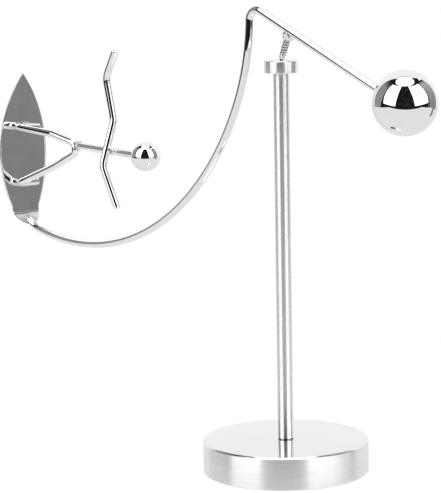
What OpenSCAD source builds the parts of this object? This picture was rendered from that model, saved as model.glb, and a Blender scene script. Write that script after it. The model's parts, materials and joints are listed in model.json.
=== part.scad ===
// Balancing desk toy: a wire surfer on a sheet-metal board, joined by a long bent wire
// to a counterweight ball. The whole rocker stands on one screw point in the dished cap
// of a column, and rocks, sways and turns about that point.
// Origin: centre of the foot pad's underside. +Z up. The rocker lies in the XZ plane at
// rest, with the ball on the +X side and the surfer on the -X side.

/* [Base] */
// Diameter of the turned base disc
base_d = 80; // [60:1:110]
// Height of the base disc
base_h = 15.7; // [12:0.1:24]
// Bevel around the base's top edge
base_bevel = 0.8; // [0.3:0.1:2]
// Diameter of the anti-slip pad under the base
pad_d = 72; // [40:1:78]
// Thickness of the pad
pad_h = 1; // [0.8:0.1:2]
// How far the pad stands out below the base
pad_proud = 0.4; // [0.2:0.1:0.6]

/* [Column and cap] */
// Diameter of the column rod
column_d = 7.6; // [6.5:0.1:12]
// Height of the column between the base and the cap
column_h = 177.2; // [120:0.1:240]
// Depth that the column is let into the base
column_sink = 3; // [2:0.1:5]
// Diameter of the top cap
cap_d = 16; // [13:0.1:24]
// Height of the top cap
cap_h = 5.9; // [5.8:0.1:9]
// Radius of the dish in the cap's top
dish_r = 5; // [4:0.1:6]
// Depth of the dish at its centre
dish_depth = 1; // [0.8:0.1:1.2]

/* [Pivot] */
// Distance from the pivot to the centre line of the straight arm
pivot_arm = 15.9; // [13:0.1:20]
// Slope of the straight arm below the horizontal at rest, in degrees
arm_slope = 23.2; // [15:0.1:30]
// Outer diameter of the pivot screw's thread
screw_d = 3.5; // [3:0.1:4]
// Pitch of the pivot screw's thread
screw_pitch = 1.3; // [1.1:0.1:1.6]
// Width of the screw's hexagon head across its flats
head_flats = 5.5; // [5:0.1:7]
// Height of the screw's head
head_h = 2.4; // [2:0.1:3]
// Radius of the rounded point
point_r = 0.6; // [0.5:0.05:0.8]

/* [Arm wire and ball] */
// Diameter of the arm wire and of the surfer's wires
wire_d = 4; // [3:0.1:5]
// Length of the straight arm on the ball's side of the screw
arm_front = 72.9; // [55:0.1:85]
// Length of the straight arm on the hook's side of the screw
arm_back = 21.9; // [15:0.1:30]
// Bend radius of the hook at the top of the wire
hook_r = 5.5; // [4:0.1:8]
// Angle that the hook turns through, in degrees
hook_turn = 110.6; // [95:0.1:120]
// Radius of the upper part of the long sweep
neck_r = 110.5; // [80:1:140]
// Angle of the upper part of the sweep, in degrees
neck_turn = 21.9; // [10:0.1:30]
// Radius of the lower part of the long sweep
sweep_r = 138.4; // [110:1:160]
// Angle of the lower part of the sweep, in degrees
sweep_turn = 79.3; // [70:0.1:95]
// Angle of the small upward bend at the board's end, in degrees
tail_turn = 24.5; // [10:0.5:35]
// Diameter of the counterweight ball
ball_d = 30; // [24:0.1:36]
// Distance of the ball's centre above the arm's centre line
ball_offset = 1.9; // [0:0.1:4]
// Depth that the wire goes into the ball
ball_bore = 8; // [5:0.5:12]

/* [Surfboard] */
// Distance from the column's axis to the deck
deck_x = 202.8; // [180:0.1:220]
// Distance from the pivot down to the board's widest point
deck_drop = 59; // [50:0.1:70]
// Radius of the gentle curve along the deck
rocker_r = 550; // [400:10:900]
// Half of the board's greatest width
board_half = 15.6; // [12:0.1:20]
// Length of the board from its widest point to the nose
nose_l = 43; // [35:0.1:50]
// Length of the board from its widest point to the tail
tail_l = 38.2; // [34:0.1:42]
// Radius of the board's rounded tail
tail_round_r = 9.1; // [7:0.1:12]
// Thickness of the board's sheet, with its plating
board_t = 0.52; // [0.4:0.01:1]
// Distance from the widest point to the bend of the tail's kick
kick_start = 31; // [28:0.1:33]
// Angle of the tail's kick, in degrees
tail_kick = 32; // [20:1:45]
// Bend radius of the tail's kick
tail_kick_r = 3; // [2:0.1:5]

/* [Surfer] */
// Height of the hips above the deck, at the corner of the leg wire
hip_up = 52.9; // [45:0.1:60]
// Height of the knees above the deck
knee_up = 29.4; // [24:0.1:34]
// Position of each foot along the board from its widest point
foot_along = [14.9, -15.9]; // [-30:0.1:30]
// Position of each knee along the board
knee_along = [12.5, -4.7]; // [-20:0.1:20]
// Position of the body along the board
body_along = 6.8; // [0:0.1:12]
// Sideways distance of the ankles from the board's middle
ankle_out = 5.5; // [3:0.1:8]
// Sideways distance of the toes on the other side
toe_out = 6.5; // [4:0.1:9]
// Height of the centre of the head above the deck
head_up = 102.2; // [90:0.1:110]
// Diameter of the head
head_d = 15; // [12:0.1:18]

/* [Hidden] */
$fn = 64;

wire_r = wire_d / 2;
end_bevel = 0.4;
// How much finer every second piece of a wire or sheet is, and how far it laps over
step = 0.01;
lap = 0.05;
// M4 fasteners of the stand, drawn without threads at their nominal diameter
m4_d = 4;
m4_clear_d = 4.4;
m4_head_d = 7;
m4_head_h = 4;
m4_washer_d = 9;
m4_washer_h = 0.8;
base_screw_l = 16;
stud_l = 10;
stud_in_cap = 3;
stud_seat = 0.2;
counterbore_d = 9.6;
head_room = 0.5;
edge = 0.3;
// Heights of the stand's faces
base_top = pad_proud + base_h;
column_bottom = base_top - column_sink;
cap_bottom = base_top + column_h;
cap_top = cap_bottom + cap_h;
washer_top = pad_h + head_room + m4_head_h + m4_washer_h;
dish_bottom = cap_top - dish_depth;
// The seat is an insert in the middle of the dish, free to turn in its pocket
seat_r = 2;
seat_gap = 0.03;
seat_floor = cap_bottom + stud_in_cap + stud_seat + 0.4;
dish_slope = dish_depth / dish_r;
// The point rests in the dish: its centre is where its ball touches the cone, plus play
play = 0.02;
pivot_z = dish_bottom + (point_r + play) * sqrt(1 + dish_slope ^ 2);
// Sunk depths where welded parts bite into each other
weld_bite = 0.15;

function unit(v) = v / norm(v);
function bend_angle(a, b, c) = acos(unit(b - a) * unit(c - b));

// Stands children, which point along Z, at a and facing b
module facing(a, b) {
    v = b - a;
    translate(a)
        rotate([0, acos(v.z / norm(v)), atan2(v.y, v.x)])
            children();
}

// A straight round wire from a to b
module rod(a, b) {
    facing(a, b) cylinder(h = norm(b - a), r = wire_r);
}

// The bevelled cut end of a wire
module cut_end() {
    translate([0, 0, -lap]) cylinder(h = lap + end_bevel, r1 = wire_r - step, r2 = wire_r - end_bevel);
}

// An arc of wire of centre line radius r about the Z axis, from the X axis round by turn.
// Every second piece of a wire is thin: it is finer by step and reaches into the pieces
// on both sides of it by lap, so that the wire is one clean solid.
module arc(r, turn, thin) {
    reach = thin ? lap / r * 180 / PI : 0;
    rotate([0, 0, -reach])
        rotate_extrude(angle = turn + 2 * reach)
            translate([r, 0])
                circle(r = wire_r - (thin ? step : 0));
}

// The round bend of a wire that comes from a, turns at corner b and goes on to c
module elbow(a, b, c, r) {
    u = unit(b - a);
    w = unit(c - b);
    turn = bend_angle(a, b, c);
    centre = b + unit(w - u) * r / cos(turn / 2);
    x = unit(b - u * r * tan(turn / 2) - centre);
    z = cross(x, u);
    multmatrix([
        [x.x, u.x, z.x, centre.x],
        [x.y, u.y, z.y, centre.y],
        [x.z, u.z, z.z, centre.z]
    ])
        arc(r, turn, true);
}

// A wire bent at the inner points of p, with bend radius r[i] at p[i]
module bent_wire(p, r) {
    last = len(p) - 1;
    trim = [for (i = [0:last])
        i == 0 || i == last ? 0 : r[i] * tan(bend_angle(p[i - 1], p[i], p[i + 1]) / 2)];
    for (i = [0:last - 1]) {
        along = unit(p[i + 1] - p[i]);
        rod(p[i] + along * trim[i], p[i + 1] - along * trim[i + 1]);
    }
    for (i = [1:last - 1]) elbow(p[i - 1], p[i], p[i + 1], r[i]);
    facing(p[0], 2 * p[0] - p[1]) cut_end();
    facing(p[last], 2 * p[last] - p[last - 1]) cut_end();
}

// Flat wire path: each pose is [x, z, heading], each step is [straight, radius, turn]
function stepped(p, s) =
    let (
        x = p[0] + s[0] * cos(p[2]),
        z = p[1] + s[0] * sin(p[2]),
        side = sign(s[2]) * s[1]
    )
    [
        x + side * (sin(p[2] + s[2]) - sin(p[2])),
        z - side * (cos(p[2] + s[2]) - cos(p[2])),
        p[2] + s[2]
    ];

// The arm wire from the ball back over the hook and down to the board's tail
tail_bend_r = 25;
arm_steps = [
    [arm_front + arm_back, hook_r, hook_turn],
    [0, neck_r, -neck_turn],
    [0, sweep_r, -sweep_turn],
    [0, tail_bend_r, -tail_turn]
];
arm_start = [
    pivot_arm * sin(arm_slope) + arm_front * cos(arm_slope),
    pivot_arm * cos(arm_slope) - arm_front * sin(arm_slope),
    180 - arm_slope
];
arm_poses = [
    for (i = 0, p = arm_start; i <= 4; p = i < 4 ? stepped(p, arm_steps[i]) : p, i = i + 1) p
];
arm_end = arm_poses[4];

module flat_wire(poses, steps) {
    for (i = [0:len(steps) - 1])
        translate([poses[i][0], 0, poses[i][1]])
            rotate([90, 0, 0])
                rotate([0, 0, poses[i][2]]) {
                    if (steps[i][0] > 0) rotate([0, 90, 0]) cylinder(h = steps[i][0], r = wire_r);
                    if (steps[i][2] != 0)
                        translate([steps[i][0], sign(steps[i][2]) * steps[i][1]])
                            rotate([0, 0, steps[i][2] > 0 ? -90 : 90 + steps[i][2]])
                                arc(steps[i][1], abs(steps[i][2]), i % 2 == 0);
                }
}

// Frames: the pivot's, the screw's along the tilted screw axis, and the board's, whose
// X is height above the deck, Y is sideways and Z runs along the board to the nose
module at_pivot() translate([0, 0, pivot_z]) children();
module at_screw() at_pivot() rotate([0, arm_slope, 0]) children();
module at_board() at_pivot() translate([-deck_x, 0, -deck_drop]) children();

/* Stand */
module foot_pad() {
    color("dimgray")
        cylinder(h = pad_h, d = pad_d);
}

module base_disc() {
    recess_r = pad_d / 2 + 0.2;
    color("lightgray")
        difference() {
            rotate_extrude()
                polygon([
                    [0, pad_proud],
                    [base_d / 2 - edge, pad_proud],
                    [base_d / 2, pad_proud + edge],
                    [base_d / 2, base_top - base_bevel],
                    [base_d / 2 - base_bevel, base_top],
                    [0, base_top]
                ]);
            cylinder(h = pad_h, r = recess_r);
            cylinder(h = washer_top, d = counterbore_d);
            cylinder(h = base_top, d = m4_clear_d);
            translate([0, 0, column_bottom]) cylinder(h = column_sink + 1, d = column_d);
        }
}

module base_washer() {
    color("silver")
        translate([0, 0, washer_top - m4_washer_h])
            difference() {
                cylinder(h = m4_washer_h, d = m4_washer_d);
                translate([0, 0, -1]) cylinder(h = m4_washer_h + 2, d = 4.3);
            }
}

module base_screw() {
    socket_flats = 3;
    socket_depth = 2;
    color("darkgray")
        translate([0, 0, pad_h + head_room])
            difference() {
                union() {
                    cylinder(h = m4_head_h, d = m4_head_d);
                    cylinder(h = m4_head_h + base_screw_l, d = m4_d);
                }
                translate([0, 0, -1])
                    cylinder(h = socket_depth + 1, d = socket_flats / cos(30), $fn = 6);
            }
}

module column() {
    tapped = 10;
    color("silver")
        difference() {
            rotate_extrude()
                polygon([
                    [0, column_bottom],
                    [column_d / 2 - edge, column_bottom],
                    [column_d / 2, column_bottom + edge],
                    [column_d / 2, cap_bottom - edge],
                    [column_d / 2 - edge, cap_bottom],
                    [0, cap_bottom]
                ]);
            translate([0, 0, column_bottom - 1]) cylinder(h = tapped + 1, d = m4_d);
            translate([0, 0, cap_bottom - tapped]) cylinder(h = tapped + 1, d = m4_d);
        }
}

module cap_stud() {
    socket_flats = 2;
    socket_depth = 2;
    color("dimgray")
        translate([0, 0, cap_bottom + stud_in_cap - stud_l])
            difference() {
                cylinder(h = stud_l, d = m4_d);
                translate([0, 0, stud_l - socket_depth])
                    cylinder(h = socket_depth + 1, d = socket_flats / cos(30), $fn = 6);
            }
}

module top_cap() {
    color("silver")
        difference() {
            rotate_extrude()
                polygon([
                    [0, cap_bottom],
                    [cap_d / 2 - edge, cap_bottom],
                    [cap_d / 2, cap_bottom + edge],
                    [cap_d / 2, cap_top - edge],
                    [cap_d / 2 - edge, cap_top],
                    [dish_r, cap_top],
                    [0, dish_bottom]
                ]);
            translate([0, 0, cap_bottom - 1]) cylinder(h = stud_in_cap + stud_seat + 1, d = m4_d);
            translate([0, 0, seat_floor]) cylinder(h = cap_h, r = seat_r + seat_gap);
        }
}

module pivot_seat() {
    color("gray")
        rotate_extrude()
            polygon([
                [0, seat_floor + seat_gap],
                [seat_r, seat_floor + seat_gap],
                [seat_r, dish_bottom + seat_r * dish_slope],
                [0, dish_bottom]
            ]);
}

/* Pivot */
module pivot_ball() {
    color("gray")
        at_pivot()
            sphere(r = point_r);
}

// Thread ridges are drawn as rings, one per pitch
module pivot_screw() {
    point_half = 22.5;
    point_cut = 0.25;
    screw_r = screw_d / 2;
    crest = 0.4;
    core_r = screw_r - crest;
    cut_r = point_r / cos(point_half) + point_cut * tan(point_half);
    cone_top = point_cut + (core_r - cut_r) / tan(point_half);
    head_bottom = pivot_arm - wire_r + weld_bite - head_h;
    turns = floor((head_bottom - cone_top) / screw_pitch);
    color("silver")
        at_screw()
            difference() {
                union() {
                    rotate_extrude()
                        polygon(concat(
                            [[0, point_cut], [cut_r, point_cut], [core_r, cone_top]],
                            [for (i = [0:turns - 1], k = [[0.35, crest], [0.65, crest], [1, 0]])
                                [core_r + k[1] * (i == 0 ? 0.5 : 1), cone_top + (i + k[0]) * screw_pitch]],
                            [[core_r, head_bottom + lap], [0, head_bottom + lap]]
                        ));
                    translate([0, 0, head_bottom])
                        cylinder(h = head_h, d = head_flats / cos(30), $fn = 6);
                }
                sphere(r = point_r + play);
                translate([-arm_back, 0, pivot_arm])
                    rotate([0, 90, 0])
                        cylinder(h = arm_back + arm_front, d = wire_d);
            }
}

module pivot_weld() {
    bead_r = 2.3;
    head_top = pivot_arm - wire_r + weld_bite;
    color("darkgray")
        at_screw()
            difference() {
                translate([0, 0, head_top + 0.3]) sphere(r = bead_r);
                translate([0, 0, head_top - 5]) cylinder(h = 5, r = 5);
                translate([-5, 0, pivot_arm]) rotate([0, 90, 0]) cylinder(h = 10, d = wire_d);
            }
}

/* Arm and counterweight */
module arm_shape() {
    at_pivot() {
        flat_wire(arm_poses, arm_steps);
        translate([arm_end[0], 0, arm_end[1]]) rotate([0, 90 - arm_end[2], 0]) cut_end();
    }
}

module arm_wire() {
    color("gainsboro")
        arm_shape();
}

module counterweight_ball() {
    entry = sqrt((ball_d / 2) ^ 2 - ball_offset ^ 2);
    color("gainsboro")
        at_screw()
            difference() {
                translate([arm_front - ball_bore + entry, 0, pivot_arm + ball_offset])
                    sphere(d = ball_d);
                translate([arm_front - ball_d, 0, pivot_arm])
                    rotate([0, 90, 0])
                        cylinder(h = ball_d, d = wire_d);
            }
}

/* Board */
// Two equal discs, half of their overlap wide, centred on the origin
module lens(half, r) {
    intersection() {
        translate([r - half, 0]) circle(r = r, $fn = 360);
        translate([half - r, 0]) circle(r = r, $fn = 360);
    }
}

// Outline seen square to the deck: a leaf with its nose pointed and its tail rounded
module board_outline() {
    side_r = (nose_l ^ 2 + board_half ^ 2) / (2 * board_half);
    wide = 2 * board_half;
    intersection() {
        translate([-wide, tail_round_r - tail_l]) square([2 * wide, nose_l + tail_l]);
        lens(board_half, side_r);
    }
    translate([0, tail_round_r - tail_l]) circle(r = tail_round_r);
}

// Height of the deck at a distance z along the board
function deck_rise(z) = rocker_r - sqrt(rocker_r ^ 2 - z ^ 2);

// Sheet of thickness t bent about the Y axis, whose deck starts at the origin and bends
// from the Z axis down and round to X, through turn with radius r
module bent_sheet(r, turn, t, width) {
    translate([r, 0, 0])
        rotate([90, 0, 0])
            rotate([0, 0, 180])
                rotate_extrude(angle = turn, $fn = 360)
                    translate([r + (board_t - t) / 2, -width / 2]) square([t, width]);
}

// Sheet with a gentle curve along its length and a kicked tail, wider than the board
module board_sheet() {
    width = 2.4 * board_half;
    up_turn = asin((nose_l + 1) / rocker_r);
    down_turn = asin(kick_start / rocker_r);
    reach = lap / tail_kick_r * 180 / PI;
    translate([rocker_r, 0, 0]) rotate([0, up_turn, 0]) translate([-rocker_r, 0, 0])
        bent_sheet(rocker_r, up_turn + down_turn, board_t, width);
    translate([rocker_r, 0, 0]) rotate([0, -down_turn, 0]) translate([-rocker_r, 0, 0]) {
        translate([tail_kick_r, 0, 0]) rotate([0, reach, 0]) translate([-tail_kick_r, 0, 0])
            bent_sheet(tail_kick_r, tail_kick + 2 * reach, board_t - 2 * step, width);
        translate([tail_kick_r, 0, 0]) rotate([0, -tail_kick, 0])
            translate([-tail_kick_r - board_t, -width / 2, -tail_l / 3])
                cube([board_t, width, tail_l / 3]);
    }
}

module surfboard() {
    color("gray")
        difference() {
            at_board()
                intersection() {
                    board_sheet();
                    translate([-board_half, 0, 0])
                        rotate([90, 0, 90])
                            linear_extrude(height = 2 * board_half) board_outline();
                }
            arm_shape();
        }
}

module tail_weld() {
    color("lightgray")
        difference() {
            at_pivot() translate([arm_end[0], 0, arm_end[1]]) sphere(r = wire_r + 0.4);
            arm_shape();
            at_board() board_sheet();
        }
}

/* Surfer */
function foot_up(z) = wire_r + deck_rise(z);
hip_point = [hip_up, 0, body_along];
leg_points = [
    [foot_up(foot_along[0]), toe_out + 2.4, foot_along[0] - 1.5],
    [foot_up(foot_along[0]), -ankle_out, foot_along[0]],
    [knee_up - 0.7, -0.48 * ankle_out, knee_along[0]],
    hip_point,
    [knee_up + 0.7, -0.45 * ankle_out, knee_along[1]],
    [foot_up(foot_along[1]), -ankle_out, foot_along[1]],
    [foot_up(foot_along[1]), toe_out + 0.6, foot_along[1]]
];
leg_radii = [0, 3, 5, 3.6, 5, 3, 0];
// Where the torso leaves the bend at the top of the legs
torso_start = [hip_up - 7.2, 0, body_along + 0.5];
torso_end = [head_up - head_d / 2 + 5, 0, body_along - 1];
// The arms pass the torso on one side, and bend out of one plane as a hand-bent wire does
arm_side = -wire_d;
arm_points = [
    [81.2, arm_side + 2.8, 58.2],
    [73.5, arm_side + 2.8, 44.8],
    [77, arm_side + 4.3, 22.6],
    [74.8, arm_side - 2, -0.5],
    [83.1, arm_side + 0.1, -21.8]
];
arm_radii = [0, 9, 9, 9, 0];

module leg_shape() at_board() bent_wire(leg_points, leg_radii);
module torso_shape() at_board() rod(torso_start, torso_end);
module arms_shape() at_board() bent_wire(arm_points, arm_radii);

module surfer_legs() {
    color("gainsboro")
        leg_shape();
}

// Fillets along both sides of each foot, cut off flat a hair above the deck
module foot_welds() {
    bead_r = 0.6;
    bead_l = 5;
    reach = 4;
    color("darkgray")
        difference() {
            at_board()
                for (foot = foot_along, side = [-1, 1])
                    translate([deck_rise(foot) + 0.3, -bead_l / 2 + 1, foot + side * 1.35])
                        rotate([-90, 0, 0])
                            cylinder(h = bead_l, r = bead_r);
            leg_shape();
            at_board()
                for (foot = foot_along)
                    translate([deck_rise(foot) + step, 0, foot])
                        rotate([0, asin(foot / rocker_r), 0])
                            translate([-reach, -reach, -reach]) cube([reach, 2 * reach, 2 * reach]);
        }
}

module surfer_torso() {
    color("gainsboro")
        difference() {
            torso_shape();
            leg_shape();
        }
}

module hip_weld() {
    above = 0.4;
    color("darkgray")
        difference() {
            at_board() translate([torso_start.x + wire_r + above, 0, torso_start.z]) sphere(r = wire_r + 0.5);
            leg_shape();
            torso_shape();
        }
}

module surfer_arms() {
    color("gainsboro")
        difference() {
            arms_shape();
            torso_shape();
        }
}

module shoulder_weld() {
    crossing = [75.7, -wire_r, body_along - 0.2];
    color("darkgray")
        difference() {
            at_board() translate(crossing) sphere(r = 1.7);
            arms_shape();
            torso_shape();
        }
}

module surfer_head() {
    color("gainsboro")
        difference() {
            at_board() translate([head_up, 0, body_along - 1]) sphere(d = head_d);
            torso_shape();
        }
}

foot_pad();
base_disc();
base_washer();
base_screw();
column();
cap_stud();
top_cap();
pivot_seat();
pivot_ball();
pivot_screw();
pivot_weld();
arm_wire();
counterweight_ball();
surfboard();
tail_weld();
surfer_legs();
foot_welds();
surfer_torso();
hip_weld();
surfer_arms();
shoulder_weld();
surfer_head();
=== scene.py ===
"""Looks of the balancing surfer: chrome wires, board and balls on one point above a turned stand.

Lengths below are in millimetres and become metres through MM. The board's own frame has X as
height above the deck, Y sideways and Z along the board to its nose.
"""

import json
import math

import bmesh
import bpy
from mathutils import Matrix, Quaternion, Vector

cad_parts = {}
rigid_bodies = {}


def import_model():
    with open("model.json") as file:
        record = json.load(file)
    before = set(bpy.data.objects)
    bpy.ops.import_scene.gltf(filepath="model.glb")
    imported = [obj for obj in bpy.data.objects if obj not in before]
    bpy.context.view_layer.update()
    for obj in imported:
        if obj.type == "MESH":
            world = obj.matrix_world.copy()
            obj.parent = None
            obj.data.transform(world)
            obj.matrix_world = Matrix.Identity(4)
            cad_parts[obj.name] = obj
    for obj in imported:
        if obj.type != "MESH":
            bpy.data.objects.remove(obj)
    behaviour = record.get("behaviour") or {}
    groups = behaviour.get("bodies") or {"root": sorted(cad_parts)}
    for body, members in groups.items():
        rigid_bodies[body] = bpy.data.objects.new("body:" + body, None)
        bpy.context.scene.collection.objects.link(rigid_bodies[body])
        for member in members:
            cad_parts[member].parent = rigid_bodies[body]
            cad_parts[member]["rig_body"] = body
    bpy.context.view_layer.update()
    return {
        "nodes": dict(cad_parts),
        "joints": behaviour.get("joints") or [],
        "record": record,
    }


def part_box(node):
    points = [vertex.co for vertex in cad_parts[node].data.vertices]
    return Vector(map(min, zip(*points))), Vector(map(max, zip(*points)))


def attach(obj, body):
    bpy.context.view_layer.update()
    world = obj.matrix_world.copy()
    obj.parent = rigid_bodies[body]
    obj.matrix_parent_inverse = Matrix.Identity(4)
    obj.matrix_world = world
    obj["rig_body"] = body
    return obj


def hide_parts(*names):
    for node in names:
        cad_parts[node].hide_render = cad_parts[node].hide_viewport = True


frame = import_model()

MM = 0.001
pivot = Vector(frame["joints"][0]["pos_m"])
slot_of = {s["node"]: s["material_slot"] for s in frame["record"]["subparts"]}

# Stand
BASE_R, BASE_BEVEL, PAD_RECESS_R = 40.0, 0.8, 36.2
COLUMN_R, COLUMN_SINK = 3.8, 3.0
RELIEF_DEPTH, RELIEF_H = 0.35, 0.6
CAP_R, DISH_R, DISH_DEPTH, SEAT_POCKET_R = 8.0, 5.0, 1.0, 2.03
BOLT_R, BOLT_CLEAR_R, COUNTERBORE_R, TAPPED = 2.0, 2.2, 4.8, 10.0
EDGE = 0.3
# Pivot screw and arm
ARM_SLOPE, PIVOT_ARM = 23.2, 15.9
SCREW_R, THREAD_DEPTH, SCREW_PITCH, RUN_IN = 1.75, 0.4, 1.3, 2.6
HEAD_FLATS, HEAD_H, POINT_R, WELD_BITE = 5.5, 2.4, 0.6, 0.15
WIRE_R, CUT_BEVEL = 2.0, 0.4
ARM_FRONT, ARM_BACK = 72.9, 21.9
ARM_BENDS = [(5.5, 110.6), (110.5, -21.9), (138.4, -79.3), (25.0, -24.5)]
BALL_R, BALL_OFFSET, BALL_BORE = 15.0, 1.9, 8.0
# Board and surfer
DECK_X, DECK_DROP, BOARD_T = 202.8, 59.0, 0.52
BOARD_HALF, NOSE_L, TAIL_L, TAIL_ROUND_R = 15.6, 43.0, 38.2, 9.1
ROCKER_R, KICK_START, TAIL_KICK, TAIL_KICK_R = 550.0, 31.0, 32.0, 3.0
HIP_UP, KNEE_UP, BODY_ALONG = 52.9, 29.4, 6.8
FOOT_ALONG, KNEE_ALONG = (14.9, -15.9), (12.5, -4.7)
ANKLE_OUT, TOE_OUT = 5.5, 6.5
HEAD_UP, HEAD_R = 102.2, 7.5
# Corners of the surfer's arms: above the deck, out of their plane, and along the board
ARM_CORNERS = [
    (81.2, 2.8, 58.2), (73.5, 2.8, 44.8), (77, 4.3, 22.6), (74.8, -2, -0.5), (83.1, 0.1, -21.8),
]

# How far a turning line wanders on its way round, in metres of its noise
RING_BREAK = 0.0015

# Studio: level directions towards the camera and to its right
TOWARD = Vector((0.7254, -0.6884, 0))
SIDE = Vector((0.6884, 0.7254, 0))


# ---------------------------------------------------------------- shader helpers
class Term:
    """A number in a shader, so that formulas can be written out."""

    def __init__(self, tree, socket):
        self.tree, self.socket = tree, socket

    def apply(self, operation, *others, clamp=False):
        node = self.tree.nodes.new("ShaderNodeMath")
        node.operation, node.use_clamp = operation, clamp
        for place, value in zip(node.inputs, (self, *others)):
            if isinstance(value, Term):
                self.tree.links.new(value.socket, place)
            else:
                place.default_value = value
        return Term(self.tree, node.outputs[0])

    def __add__(self, other):
        return self.apply("ADD", other)

    def __sub__(self, other):
        return self.apply("SUBTRACT", other)

    def __mul__(self, other):
        return self.apply("MULTIPLY", other)

    def __truediv__(self, other):
        return self.apply("DIVIDE", other)

    __radd__, __rmul__ = __add__, __mul__

    def __rsub__(self, other):
        return self * -1 + other

    def edge(self, soft):
        """0 well below zero, 1 well above it, blended over soft."""
        return (self / soft).apply("ADD", 0.5, clamp=True)


def add_node(tree, kind, inputs=None, **settings):
    node = tree.nodes.new(kind)
    for key, value in settings.items():
        setattr(node, key, value)
    for key, value in (inputs or {}).items():
        place = node.inputs[key]
        if isinstance(value, Term):
            tree.links.new(value.socket, place)
        elif isinstance(value, bpy.types.NodeSocket):
            tree.links.new(value, place)
        else:
            place.default_value = value
    return node


def noise(tree, vector, scale, detail=2.0, roughness=0.5):
    """Noise of a vector in metres; scale is in features per metre."""
    inputs = {"Vector": vector, "Scale": scale, "Detail": detail, "Roughness": roughness}
    return Term(tree, add_node(tree, "ShaderNodeTexNoise", inputs).outputs["Fac"])


def stretched(tree, vector, scale):
    return add_node(
        tree, "ShaderNodeVectorMath", {0: vector, 1: scale}, operation="MULTIPLY"
    ).outputs[0]


def combined(tree, x, y, z):
    return add_node(tree, "ShaderNodeCombineXYZ", {"X": x, "Y": y, "Z": z}).outputs[0]


def dot(tree, vector, direction):
    inputs = {0: vector, 1: direction}
    node = add_node(tree, "ShaderNodeVectorMath", inputs, operation="DOT_PRODUCT")
    return Term(tree, node.outputs["Value"])


def bump(tree, height, distance, strength=1.0, normal=None):
    inputs = {"Height": height, "Distance": distance, "Strength": strength}
    if normal is not None:
        inputs["Normal"] = normal
    return add_node(tree, "ShaderNodeBump", inputs).outputs[0]


def new_material(name):
    material = bpy.data.materials.new(name)
    material.use_nodes = True
    tree = material.node_tree
    tree.nodes.clear()
    coordinates = tree.nodes.new("ShaderNodeTexCoord")
    return material, tree, coordinates


def finish_material(tree, colour, inputs):
    shader = add_node(tree, "ShaderNodeBsdfPrincipled", {"Base Color": colour, **inputs})
    add_node(tree, "ShaderNodeOutputMaterial", {"Surface": shader.outputs[0]})


def grey(tree, value):
    """The same value in all three channels, with a trace of blue."""
    return combined(tree, value * 0.995, value, value * 1.004)


def scratches(tree, uv, along, around, amount):
    """Thin lines that run along a piece, from noise drawn out in one direction."""
    lines = noise(tree, stretched(tree, uv, (along, around, 0)), 1.0, 3.0, 0.6)
    return (lines - (1 - amount)).edge(0.05)


def painted_recess_shade(tree, amount):
    """Painted shade in a piece's own hollows, from ambient occlusion, from 0 to 1."""
    inputs = {"Distance": 0.7 * MM}
    node = add_node(tree, "ShaderNodeAmbientOcclusion", inputs, samples=8, only_local=True)
    return ((1 - Term(tree, node.outputs["AO"])) * amount).apply("MINIMUM", 1.0)


# ---------------------------------------------------------------- materials
def chrome_wire():
    material, tree, coordinates = new_material("chrome_wire")
    place, uv = coordinates.outputs["Object"], coordinates.outputs["UV"]
    lines = scratches(tree, uv, 40.0, 70.0, 0.33)
    film = (noise(tree, place, 260.0, 3.0) - 0.55).edge(0.3)
    ripple = noise(tree, place, 160.0, 1.0)
    tone = 0.93 - lines * 0.05 - film * 0.02
    normal = bump(tree, ripple, 0.000012)
    inputs = {"Metallic": 1.0, "Roughness": 0.012 + film * 0.02 + lines * 0.04, "Normal": normal}
    finish_material(tree, grey(tree, tone), inputs)
    return material


def chrome_sheet():
    material, tree, coordinates = new_material("chrome_sheet")
    place = coordinates.outputs["Object"]
    grain = noise(tree, stretched(tree, place, (1200, 4200, 500)), 1.0, 3.0)
    cloud = noise(tree, place, 90.0, 3.0)
    pits = (noise(tree, place, 1500.0, 1.0) - 0.74).edge(0.05)
    tone = 0.78 + cloud * 0.16 - grain * 0.07 - pits * 0.05
    normal = bump(tree, cloud, 0.00003)
    normal = bump(tree, grain, 0.0000015, 0.6, normal)
    inputs = {"Metallic": 1.0, "Roughness": 0.07 + grain * 0.05 + pits * 0.1, "Normal": normal}
    finish_material(tree, grey(tree, tone), inputs)
    return material


def turned_aluminium(name, ring_depth, speckle, wall_rough):
    """Turned on a lathe about Z: fine rings, whose grooves blur reflections across them."""
    material, tree, coordinates = new_material(name)
    place = coordinates.outputs["Object"]
    parts = add_node(tree, "ShaderNodeSeparateXYZ", {"Vector": place}).outputs
    x, y, z = (Term(tree, parts[name]) for name in "XYZ")
    radius = (x * x + y * y).apply("SQRT")
    rings = combined(tree, x / radius * RING_BREAK, y / radius * RING_BREAK, z + radius)
    fine = noise(tree, rings, 5200.0, 2.0, 0.7)
    coarse = noise(tree, rings, 900.0, 4.0, 0.8)
    dust = noise(tree, place, 1500.0, 2.0, 0.7)
    face = tree.nodes.new("ShaderNodeNewGeometry").outputs["Normal"]
    level = dot(tree, face, Vector((0, 0, 1))).apply("ABSOLUTE")
    wall = (0.7 - level).edge(0.3)
    around = combined(tree, y * -1, x, 0.0)
    across = add_node(tree, "ShaderNodeVectorMath", {0: around, 1: face}, operation="CROSS_PRODUCT")
    tangent = add_node(tree, "ShaderNodeVectorMath", {0: across.outputs[0]}, operation="NORMALIZE")
    tone = 0.9 + (coarse - 0.5) * (wall * 0.26 + 0.05) + (dust - 0.5) * speckle
    normal = bump(tree, fine, ring_depth, wall * 0.8 + 0.2)
    normal = bump(tree, dust, speckle * 0.00004, wall * 0.8 + 0.2, normal)
    inputs = {
        "Metallic": 1.0,
        "Roughness": wall * wall_rough + 0.05 + coarse * 0.04 + dust * 0.02,
        "Anisotropic": wall * 0.87 + 0.1,
        "Tangent": tangent.outputs[0],
        "Normal": normal,
    }
    # The colour is darkened by painted shade in the piece's hollows, from ambient occlusion.
    finish_material(tree, grey(tree, tone * (1 - painted_recess_shade(tree, 1.6))), inputs)
    return material


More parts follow.
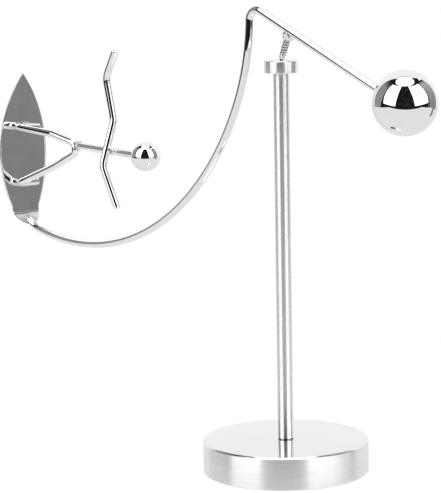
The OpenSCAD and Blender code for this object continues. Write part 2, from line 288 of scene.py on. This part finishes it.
def worn_metal(name, tone, rough, grain_scale, depth, recess_shade=1.2):
    """A duller metal with blotches, grain and small scratches, and painted shade in its recesses."""
    material, tree, coordinates = new_material(name)
    place = coordinates.outputs["Object"]
    blotch = noise(tree, place, grain_scale * 0.2, 3.0)
    grain = noise(tree, place, grain_scale, 3.0, 0.6)
    marks = (noise(tree, stretched(tree, place, (1, 5, 1)), grain_scale * 1.7, 2.0) - 0.66).edge(0.08)
    colour = (blotch * 0.2 + 0.9) * tone - marks * 0.12
    # Painted shade from ambient occlusion darkens the colour in the piece's recesses.
    colour = grey(tree, colour * (1 - painted_recess_shade(tree, recess_shade)))
    inputs = {
        "Metallic": 1.0,
        "Roughness": rough + blotch * 0.1 + marks * 0.12,
        "Normal": bump(tree, grain, depth),
    }
    finish_material(tree, colour, inputs)
    return material


def black_rubber():
    material, tree, coordinates = new_material("black_rubber")
    place = coordinates.outputs["Object"]
    cells = noise(tree, place, 2400.0, 3.0, 0.7)
    dust = noise(tree, place, 300.0, 3.0)
    inputs = {"Roughness": 0.7 + dust * 0.2, "Normal": bump(tree, cells, 0.00008)}
    finish_material(tree, grey(tree, 0.03 + cells * 0.03 + dust * 0.02), inputs)
    return material


materials = {
    "chrome_wire": chrome_wire(),
    "chrome_sheet": chrome_sheet(),
    "turned_aluminium": turned_aluminium("turned_aluminium", 0.000003, 0.08, 0.24),
    # The last number is the strength of the painted shade in the screw's thread and head recesses.
    "zinc_steel": worn_metal("zinc_steel", 0.88, 0.03, 2200.0, 0.000004, 3.5),
    "hard_steel": worn_metal("hard_steel", 0.45, 0.22, 3000.0, 0.000008),
    "solder": worn_metal("solder", 0.62, 0.3, 1400.0, 0.00005),
    "black_rubber": black_rubber(),
}


# The drawn rod of the column is speckled, with fainter rings
drawn_rod = turned_aluminium("drawn_aluminium", 0.0000008, 0.5, 0.24)


# ---------------------------------------------------------------- geometry helpers
def loft(name, node, rings, closed=False, sharp=32.0, material=None):
    """A piece that stands for a CAD node: a skin over rings of points, given in metres."""
    count = len(rings[0])
    bm = bmesh.new()
    verts = [[bm.verts.new(point) for point in ring] for ring in rings]
    uv = bm.loops.layers.uv.new("UVMap")
    centres = [sum(ring, Vector()) / count for ring in rings]
    spans = list(zip(rings, rings[1:] + rings[:1])) if closed else list(zip(rings, rings[1:]))
    lengths = [0.0]
    for a, b in spans:
        lengths.append(lengths[-1] + max((p - q).length for p, q in zip(a, b)))
    for i in range(len(spans)):
        first, second = verts[i], verts[(i + 1) % len(verts)]
        for j in range(count):
            k = (j + 1) % count
            face = bm.faces.new((first[j], first[k], second[k], second[j]))
            corners = ((i, j), (i, j + 1), (i + 1, j + 1), (i + 1, j))
            for loop, (along, around) in zip(face.loops, corners):
                loop[uv].uv = (lengths[along], around / count)
    if not closed:
        for ring, centre, row in ((rings[0], centres[0], verts[0]), (rings[-1], centres[-1], verts[-1])):
            if max((point - centre).length for point in ring) > 1e-7:
                bm.faces.new(row)
    bmesh.ops.remove_doubles(bm, verts=bm.verts, dist=1e-8)
    bmesh.ops.recalc_face_normals(bm, faces=bm.faces)
    mesh = bpy.data.meshes.new(name)
    bm.to_mesh(mesh)
    bm.free()
    for polygon in mesh.polygons:
        polygon.use_smooth = True
    mesh.set_sharp_from_angle(angle=math.radians(sharp))
    mesh.materials.append(material or materials[slot_of[node]])
    piece = bpy.data.objects.new(name, mesh)
    bpy.context.scene.collection.objects.link(piece)
    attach(piece, frame["nodes"][node]["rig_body"])
    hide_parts(node)
    return piece


def filleted(points, radii, step=4.0):
    """The path through points with round bends, in steps of so many degrees."""
    path = [points[0]]
    for a, b, c, r in zip(points, points[1:], points[2:], radii[1:]):
        u, w = (b - a).normalized(), (c - b).normalized()
        turn = u.angle(w)
        start = b - u * r * math.tan(turn / 2)
        centre = b + (w - u).normalized() * r / math.cos(turn / 2)
        axis = u.cross(w).normalized()
        steps = max(2, round(math.degrees(turn) / step))
        for i in range(steps + 1):
            path.append(centre + Quaternion(axis, turn * i / steps) @ (start - centre))
    return path + [points[-1]]


def spread(path, longest):
    """The path with extra points, so that no two are further apart than longest."""
    dense = [path[0]]
    for a, b in zip(path, path[1:]):
        pieces = max(1, math.ceil((b - a).length / longest))
        dense += [a.lerp(b, i / pieces) for i in range(1, pieces + 1)]
    return dense


def circle(centre, x, y, radius, count):
    return [
        centre + (x * math.cos(math.tau * i / count) + y * math.sin(math.tau * i / count)) * radius
        for i in range(count)
    ]


def wire(name, node, path, cut=(False, False), count=40):
    """A round wire along a path in millimetres; a cut end gets a bevelled face."""
    path = spread(path, 3.0)
    ways = [(b - a).normalized() for a, b in zip(path, path[1:])]
    ways = [ways[0]] + [(a + b).normalized() for a, b in zip(ways, ways[1:])] + [ways[-1]]
    x = ways[0].orthogonal().normalized()
    bevel = [(0.0, WIRE_R), (0.05, 1.93), (0.2, 1.8), (CUT_BEVEL, WIRE_R - CUT_BEVEL)]
    rings = []
    for i, (point, way) in enumerate(zip(path, ways)):
        x = (x - way * x.dot(way)).normalized()
        y = way.cross(x)
        stations = [(0.0, WIRE_R)]
        if i == 0 and cut[0]:
            stations = [(-out, radius) for out, radius in reversed(bevel)]
        if i == len(path) - 1 and cut[1]:
            stations = bevel
        rings += [circle((point + way * out) * MM, x, y, radius * MM, count) for out, radius in stations]
    return loft(name, node, rings)


def turned(name, node, profile, count=160, closed=False, material=None):
    """A piece turned about the Z axis from a profile of (radius, height) in millimetres."""
    rings = []
    for radius, height in profile:
        centre = Vector((0, 0, height * MM))
        rings.append(circle(centre, Vector((1, 0, 0)), Vector((0, 1, 0)), radius * MM, count))
    return loft(name, node, rings, closed=closed, material=material)


def rounded_profile(corners, radii):
    """A closed profile whose corners have small rounds."""
    flat = [Vector((x, 0, z)) for x, z in corners]
    ring = [(flat[-1] + flat[0]) / 2] + flat + [(flat[-1] + flat[0]) / 2]
    path = [ring[0]]
    for a, b, c, r in zip(ring, ring[1:], ring[2:], radii):
        path += filleted([a, b, c], [0, r, 0], 15.0)[1:-1] if r else [b]
    return [(point.x, point.z) for point in path]


def on_board(x, y, z):
    return Vector((x - DECK_X, y, z - DECK_DROP)) + pivot / MM


screw_x = Vector((math.cos(math.radians(ARM_SLOPE)), 0, -math.sin(math.radians(ARM_SLOPE))))
screw_z = Vector((math.sin(math.radians(ARM_SLOPE)), 0, math.cos(math.radians(ARM_SLOPE))))


def frame_at(origin, z, x):
    """A placement with its origin given in millimetres, and with these Z and X directions."""
    y = z.cross(x)
    turn = Matrix((x, y, z)).transposed().to_4x4()
    return Matrix.Translation(origin * MM) @ turn


at_screw = frame_at(pivot / MM, screw_z, screw_x)


# ---------------------------------------------------------------- stand
def base_disc():
    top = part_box("base_disc")[1].z / MM
    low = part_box("base_disc")[0].z / MM
    pad_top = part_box("foot_pad")[1].z / MM
    bore_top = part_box("base_washer")[1].z / MM
    socket = top - COLUMN_SINK
    corners = [
        (BOLT_CLEAR_R, bore_top), (COUNTERBORE_R, bore_top), (COUNTERBORE_R, pad_top),
        (PAD_RECESS_R, pad_top), (PAD_RECESS_R, low), (BASE_R - EDGE, low), (BASE_R, low + EDGE),
        (BASE_R, top - BASE_BEVEL), (BASE_R - BASE_BEVEL, top),
        (COLUMN_R, top), (COLUMN_R, socket), (BOLT_CLEAR_R, socket),
    ]
    radii = [0, 0, 0, 0, 0, 0.1, 0.1, 0.12, 0.12, 0, 0, 0]
    turned("base_disc_turned", "base_disc", rounded_profile(corners, radii), closed=True, count=256)


def column():
    """Drawn rod, with a small relief turned into it where it meets the disc."""
    low, high = (corner.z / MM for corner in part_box("column"))
    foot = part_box("base_disc")[1].z / MM
    corners = [
        (0, low + TAPPED), (BOLT_R, low + TAPPED), (BOLT_R, low), (COLUMN_R - EDGE, low),
        (COLUMN_R, low + EDGE), (COLUMN_R, foot), (COLUMN_R - RELIEF_DEPTH, foot),
        (COLUMN_R - RELIEF_DEPTH, foot + RELIEF_H), (COLUMN_R, foot + RELIEF_H),
        (COLUMN_R, high - EDGE), (COLUMN_R - EDGE, high), (BOLT_R, high),
        (BOLT_R, high - TAPPED), (0, high - TAPPED),
    ]
    turned("column_turned", "column", corners, count=128, material=drawn_rod)


def top_cap():
    low, high = (corner.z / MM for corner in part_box("top_cap"))
    stud_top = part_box("cap_stud")[1].z / MM + 0.2
    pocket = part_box("pivot_seat")[0].z / MM - 0.03
    dish = high - DISH_DEPTH * (1 - SEAT_POCKET_R / DISH_R)
    outside = [
        (BOLT_R, low), (CAP_R - EDGE, low), (CAP_R, low + EDGE), (CAP_R, high - EDGE),
        (CAP_R - EDGE, high), (DISH_R, high), (SEAT_POCKET_R, dish), (SEAT_POCKET_R, pocket),
    ]
    radii = [0, 0.1, 0.1, 0.12, 0.12, 0.3, 0.05, 0]
    path = rounded_profile(outside + [(0, pocket), (0, stud_top), (BOLT_R, stud_top)], radii + [0, 0, 0])
    start = min(range(len(path)), key=lambda i: (abs(path[i][0]) > 1e-6, path[i][1]))
    path = path[start:] + path[:start]
    turned("top_cap_turned", "top_cap", path, closed=True, count=160)


# ---------------------------------------------------------------- pivot
def pivot_screw():
    """Helical thread, hexagon head with chamfered corners, and a socket for the pivot ball.

    The thread starts above the cone and runs in slowly, so that it clears the dish at full lean.
    """
    half = math.radians(22.5)
    cut_z = 0.25
    core = SCREW_R - THREAD_DEPTH
    cut_r = POINT_R / math.cos(half) + cut_z * math.tan(half)
    cone_top = cut_z + (core - cut_r) / math.tan(half)
    head_top = PIVOT_ARM - WIRE_R + WELD_BITE
    head_low = head_top - HEAD_H
    corner_r = HEAD_FLATS / 2 / math.cos(math.radians(30))
    count = 72

    def thread(angle, z):
        turn = (z / SCREW_PITCH - angle / math.tau) % 1.0
        crest = min(1.0, max(0.0, 1.9 - abs(turn - 0.5) * 6.5))
        fade = min(1.0, max(0.0, (z - cone_top) / RUN_IN)) * min(1.0, max(0.0, (head_low - z) / 0.5))
        core_here = min(core, cut_r + (z - cut_z) * math.tan(half))
        return core_here + THREAD_DEPTH * crest * fade

    def hexagon(angle, limit):
        off = (angle + math.radians(30)) % math.radians(60) - math.radians(30)
        return min(HEAD_FLATS / 2 / math.cos(off), limit)

    play = 0.02
    levels = [(POINT_R + play) * math.cos(math.radians(a)) for a in (0, 15, 30, 45, 60)]
    rings = [[(math.sqrt(max(0, (POINT_R + play) ** 2 - z * z)), z)] * count for z in levels if z > cut_z]
    rings.append([(math.sqrt((POINT_R + play) ** 2 - cut_z ** 2), cut_z)] * count)
    steps = 130
    angles = [math.tau * i / count for i in range(count)]
    for i in range(steps + 1):
        z = cut_z + (head_low - cut_z) * i / steps
        rings.append([(thread(angle, z), z) for angle in angles])
    flats = HEAD_FLATS / 2
    for limit, z in (
        (flats * 0.98, 0.0), (flats * 1.03, 0.05), (corner_r, 0.35), (corner_r, HEAD_H - 0.35),
        (flats * 1.03, HEAD_H - 0.05), (flats * 0.98, HEAD_H),
    ):
        rings.append([(hexagon(angle, limit), head_low + z) for angle in angles])
    rings = [
        [
            at_screw @ (Vector((r * math.cos(a), r * math.sin(a), z)) * MM)
            for a, (r, z) in zip(angles, ring)
        ]
        for ring in rings
    ]
    loft("pivot_screw_threaded", "pivot_screw", rings, sharp=40.0)


# ---------------------------------------------------------------- arm and balls
def arm_path():
    """From the ball's bore over the screw, round the hook and down the sweep to the board."""
    point = screw_x * ARM_FRONT + screw_z * PIVOT_ARM + pivot / MM
    heading = math.radians(180 - ARM_SLOPE)
    path = [point]
    point = point + Vector((math.cos(heading), 0, math.sin(heading))) * (ARM_FRONT + ARM_BACK)
    path.append(point)
    for radius, turn in ARM_BENDS:
        side = math.copysign(radius, turn)
        turn = math.radians(turn)
        steps = max(6, math.ceil(abs(turn) / math.radians(4)), math.ceil(radius * abs(turn) / 2.5))
        centre = point + Vector((-math.sin(heading), 0, math.cos(heading))) * side
        for i in range(1, steps + 1):
            angle = heading + turn * i / steps
            path.append(centre - Vector((-math.sin(angle), 0, math.cos(angle))) * side)
        heading += turn
        point = path[-1]
    return path


def ball(name, node, centre, radius, outwards, entry, dimple=0.9):
    """A ball with a small countersink where its wire goes in, at entry from outwards."""
    x = outwards.orthogonal().normalized()
    place = frame_at(centre, outwards, x)
    inner = place.inverted()
    axis = inner.to_3x3() @ Vector(outwards)
    hole = inner @ (entry * MM) / MM
    rings = []
    rows = [2.2 * i for i in range(16)] + [35 + 145 * i / 64 for i in range(65)]
    for polar in rows:
        angle = math.radians(polar)
        ring = []
        for point in circle(
            Vector((0, 0, radius * math.cos(angle))), Vector((1, 0, 0)), Vector((0, 1, 0)),
            radius * math.sin(angle), 144,
        ):
            away = point - hole
            away -= axis * away.dot(axis)
            depth = dimple * min(1.0, max(0.0, (WIRE_R + 1.1 - away.length) / 1.1))
            if point.dot(axis) < 0:
                depth = 0
            ring.append(place @ ((point - axis * depth * depth / dimple) * MM))
        rings.append(ring)
    loft(name, node, rings, sharp=60.0)


def arm_and_ball():
    wire("arm_wire_bent", "arm_wire", arm_path(), cut=(False, True), count=48)
    entry = math.sqrt(BALL_R ** 2 - BALL_OFFSET ** 2)
    along = ARM_FRONT - BALL_BORE + entry
    arm_line = screw_x * along + screw_z * PIVOT_ARM + pivot / MM
    ball("counterweight_ball_bored", "counterweight_ball", arm_line + screw_z * BALL_OFFSET, BALL_R,
         -screw_x, arm_line)


# ---------------------------------------------------------------- board
def deck_rise(z):
    return ROCKER_R - math.sqrt(ROCKER_R ** 2 - z * z)


def half_width(z):
    """Half of the board's width at a distance z along it: a leaf with a rounded tail."""
    side_r = (NOSE_L ** 2 + BOARD_HALF ** 2) / (2 * BOARD_HALF)
    leaf = math.sqrt(side_r ** 2 - z * z) - (side_r - BOARD_HALF)
    from_round = z - (TAIL_ROUND_R - TAIL_L)
    rounding = math.sqrt(max(0.0, TAIL_ROUND_R ** 2 - from_round ** 2))
    return max(leaf, rounding) if from_round > 0 else rounding


def deck_line():
    """(point, normal) of the deck's middle line, from the nose to the tail, in X and Z."""
    line = []
    nose = [NOSE_L - 0.02 - 3.0 * (i / 10) ** 2 for i in range(11)]
    level = [nose[-1] - (nose[-1] + KICK_START) * i / 60 for i in range(1, 61)]
    for z in nose + level:
        slope = math.asin(z / ROCKER_R)
        line.append((Vector((deck_rise(z), 0, z)), Vector((math.cos(slope), 0, -math.sin(slope)))))
    point, normal = line[-1]
    down = Vector((normal.z, 0, -normal.x))
    centre = point + normal * TAIL_KICK_R
    turn = math.radians(TAIL_KICK)
    for i in range(1, 13):
        a = turn * i / 12
        n = normal * math.cos(a) - down * math.sin(a)
        line.append((centre - n * TAIL_KICK_R, Vector(n)))
    point, normal = line[-1]
    down = Vector((normal.z, 0, -normal.x))
    if down.z > 0:
        down = -down
    run = (point.z + TAIL_L - 0.02) / -down.z
    for i in range(1, 19):
        share = 1 - (1 - i / 18) ** 2
        line.append((point + down * run * share, normal))
    return line


def surfboard():
    """Thin sheet with slightly rounded edges."""
    across = 24
    rings = []
    for point, normal in deck_line():
        half = max(0.06, half_width(point.z))
        edge = min(0.12, half / 3)
        outline = []
        for i in range(across + 1):
            outline.append((-(half - edge) + 2 * (half - edge) * i / across, 0.0))
        outline += [(half - edge * 0.3, edge * 0.3), (half, edge), (half, BOARD_T - edge),
                    (half - edge * 0.3, BOARD_T - edge * 0.3)]
        for i in range(across + 1):
            outline.append((half - edge - 2 * (half - edge) * i / across, BOARD_T))
        outline += [(-half + edge * 0.3, BOARD_T - edge * 0.3), (-half, BOARD_T - edge), (-half, edge),
                    (-half + edge * 0.3, edge * 0.3)]
        base = on_board(point.x, 0, point.z)
        rings.append([(base + Vector((0, y, 0)) - normal * depth) * MM for y, depth in outline])
    loft("surfboard_sheet", "surfboard", rings, sharp=50.0)


# ---------------------------------------------------------------- surfer
def surfer():
    front, back = FOOT_ALONG
    front_up, back_up = WIRE_R + deck_rise(front), WIRE_R + deck_rise(back)
    legs = [
        on_board(front_up, TOE_OUT + 2.4, front - 1.5),
        on_board(front_up, -ANKLE_OUT, front),
        on_board(KNEE_UP - 0.7, -0.48 * ANKLE_OUT, KNEE_ALONG[0]),
        on_board(HIP_UP, 0, BODY_ALONG),
        on_board(KNEE_UP + 0.7, -0.45 * ANKLE_OUT, KNEE_ALONG[1]),
        on_board(back_up, -ANKLE_OUT, back),
        on_board(back_up, TOE_OUT + 0.6, back),
    ]
    wire("surfer_legs_bent", "surfer_legs", filleted(legs, [0, 3, 5, 3.6, 5, 3, 0]), cut=(True, True))
    start = on_board(HIP_UP - 7.2, 0, BODY_ALONG + 0.5)
    neck = on_board(HEAD_UP - HEAD_R + 5, 0, BODY_ALONG - 1)
    wire("surfer_torso_rod", "surfer_torso", [start, neck])
    arms = [on_board(up, -2 * WIRE_R + out, along) for up, out, along in ARM_CORNERS]
    wire("surfer_arms_bent", "surfer_arms", filleted(arms, [0, 9, 9, 9, 0]), cut=(True, True))
    centre = on_board(HEAD_UP, 0, BODY_ALONG - 1)
    inwards = (start - centre).normalized()
    ball("surfer_head_bored", "surfer_head", centre, HEAD_R, inwards, centre + inwards * HEAD_R, dimple=0.3)


# ---------------------------------------------------------------- welds and CAD nodes that stay
def lumpy(node, voxel, depth):
    """Gives a CAD weld the uneven skin of a real bead."""
    bead = frame["nodes"][node]
    remesh = bead.modifiers.new("remesh", "REMESH")
    remesh.mode, remesh.voxel_size, remesh.use_smooth_shade = "VOXEL", voxel * MM, True
    soften = bead.modifiers.new("soften", "SMOOTH")
    soften.factor, soften.iterations = 0.5, 3
    texture = bpy.data.textures.new(node + "_lumps", "CLOUDS")
    texture.noise_scale = 0.9 * MM
    lumps = bead.modifiers.new("lumps", "DISPLACE")
    lumps.texture, lumps.strength, lumps.mid_level = texture, depth * MM, 0.6


def finish_nodes():
    for name, node in frame["nodes"].items():
        node.data.materials.clear()
        node.data.materials.append(materials[slot_of[name]])
    for name in ("pivot_weld", "tail_weld", "hip_weld", "shoulder_weld"):
        lumpy(name, 0.14, 0.3)
    lumpy("foot_welds", 0.1, 0.15)


# ---------------------------------------------------------------- studio
def softbox(a, el, inner, outer, low, high):
    """Mask of a four-sided light; each side is (start, slope) against the other angle."""
    mask = (a - (el * inner[1] + inner[0])).edge(1.5)
    mask = mask * (el * outer[1] + outer[0] - a).edge(1.5)
    mask = mask * (el - (a * low[1] + low[0])).edge(1.5)
    return mask * (a * high[1] + high[0] - el).edge(1.5)


def studio_world():
    """White to the camera; in reflections, soft lights in a dark room with a pale back."""
    world = bpy.data.worlds.new("studio")
    bpy.context.scene.world = world
    world.use_nodes = True
    tree = world.node_tree
    tree.nodes.clear()
    direction = tree.nodes.new("ShaderNodeTexCoord").outputs["Generated"]
    toward, side, up = (dot(tree, direction, v) for v in (TOWARD, SIDE, Vector((0, 0, 1))))
    degree = 180 / math.pi
    az = side.apply("ARCTAN2", toward) * degree
    el = up.apply("ARCSINE") * degree
    away = az.apply("ABSOLUTE")

    left_box = softbox(az * -1, el, (36.0, -0.16), (81.9, 0.062), (-11.8, 0.156), (66.9, -0.109))
    right_box = softbox(az, el, (30.9, -0.18), (83.9, 0.135), (-10.3, 0.135), (65.4, -0.106))
    high = up.apply("MAXIMUM", 0.05)
    ahead = (toward / high - 0.08) / 0.386
    beside = side / high / 0.45
    overhead = (1 - (ahead * ahead + beside * beside)).edge(0.08) * (up - 0.5).edge(0.02)
    back = (away - 131).edge(2) * (70 - el).edge(6)
    left_panel = (az * -1 - 90 - (12 - el).apply("MAXIMUM", 0) * 0.3).edge(4) * (128.5 - az * -1).edge(1.5)
    left_panel = left_panel * (el + 10).edge(2) * (44 - el).edge(18)
    right_back = (az - 86).edge(2) * (131 - az).edge(2) * (53 - el).edge(3)
    blotches = (noise(tree, direction, 7.0, 2.0) - 0.56).edge(0.2) * 0.02
    light = left_box * 1.9 + right_box * 1.9 + overhead * 1.9
    light = light + back * 0.92 + left_panel * 0.27 + right_back * 1.1 + blotches + 0.008

    seen = tree.nodes.new("ShaderNodeLightPath").outputs["Is Camera Ray"]
    colour = combined(tree, light, light, light)
    room = add_node(tree, "ShaderNodeBackground", {"Color": colour})
    paper = add_node(tree, "ShaderNodeBackground", {"Color": (1, 1, 1, 1)})
    mix = add_node(tree, "ShaderNodeMixShader", {0: seen})
    tree.links.new(room.outputs[0], mix.inputs[1])
    tree.links.new(paper.outputs[0], mix.inputs[2])
    add_node(tree, "ShaderNodeOutputWorld", {"Surface": mix.outputs[0]})
    world.cycles.sample_map_resolution = 1024


def stage_plane(name, corners, material):
    mesh = bpy.data.meshes.new(name)
    mesh.from_pydata(corners, [], [range(len(corners))])
    mesh.materials.append(material)
    plane = bpy.data.objects.new(name, mesh)
    bpy.context.scene.collection.objects.link(plane)
    return plane


def glowing(name, value_at):
    """A surface that shines evenly; value_at gives its brightness from its place."""
    material, tree, coordinates = new_material(name)
    value = value_at(tree, coordinates.outputs["Object"])
    shader = add_node(tree, "ShaderNodeEmission", {"Color": combined(tree, value, value, value)})
    add_node(tree, "ShaderNodeOutputMaterial", {"Surface": shader.outputs[0]})
    return material


def studio():
    studio_world()
    # The paper floor's reach towards the camera, away from it, and to each side, in metres
    front, back, half = 0.65, 6.0, 0.95

    def paper(tree, place):
        seen = Term(tree, tree.nodes.new("ShaderNodeLightPath").outputs["Is Camera Ray"])
        return seen * 0.2 + (0.8 + noise(tree, place, 4.0) * 0.01)

    # The grey card's near and far lower corners, right of the toy; only reflections show it
    near = SIDE * 0.329 + TOWARD * 0.087
    far = SIDE * 0.423 - TOWARD * 0.246

    def card(tree, place):
        height = dot(tree, place, Vector((0, 0, 1)))
        across = (far - near).normalized()
        along = dot(tree, place, across) - near.dot(across)
        rise = (height - 0.3).edge(0.3)
        return (0.24 + rise * 0.16) * (0.56 - height).edge(0.12) * (along - 0.022).edge(0.008)

    sheet = ((front, -half), (front, half), (-back, half), (-back, -half))
    corners = [TOWARD * t + SIDE * s for t, s in sheet]
    stage_plane("floor", corners, glowing("paper", paper))
    outline = [
        (0, 0.13), (0.33, 0.117), (0.33, 0.0), (0.6, 0.0), (0.6, 0.095), (1, 0.07), (1, 0.66), (0, 0.66),
    ]
    edge = [near.lerp(far, share) + Vector((0, 0, z)) for share, z in outline]
    panel = stage_plane("grey_card", edge, glowing("card", card))
    panel.visible_camera = False


def camera():
    place = Vector((797.91, -757.19, 285.26)) * MM
    aim = Vector((-10.24, -31.16, 112.72)) * MM
    data = bpy.data.cameras.new("camera")
    data.lens, data.sensor_width, data.sensor_fit = 170.0, 36.0, "AUTO"
    data.clip_start, data.clip_end = 0.05, 50.0
    eye = bpy.data.objects.new("camera", data)
    bpy.context.scene.collection.objects.link(eye)
    roll = Quaternion((0, 0, 1), -0.0172)
    eye.rotation_mode = "QUATERNION"
    eye.rotation_quaternion = (aim - place).to_track_quat("-Z", "Y") @ roll
    eye.location = place
    bpy.context.scene.camera = eye


base_disc()
column()
top_cap()
pivot_screw()
arm_and_ball()
surfboard()
surfer()
finish_nodes()
studio()
camera()
bpy.context.scene.view_settings.view_transform = "Standard"
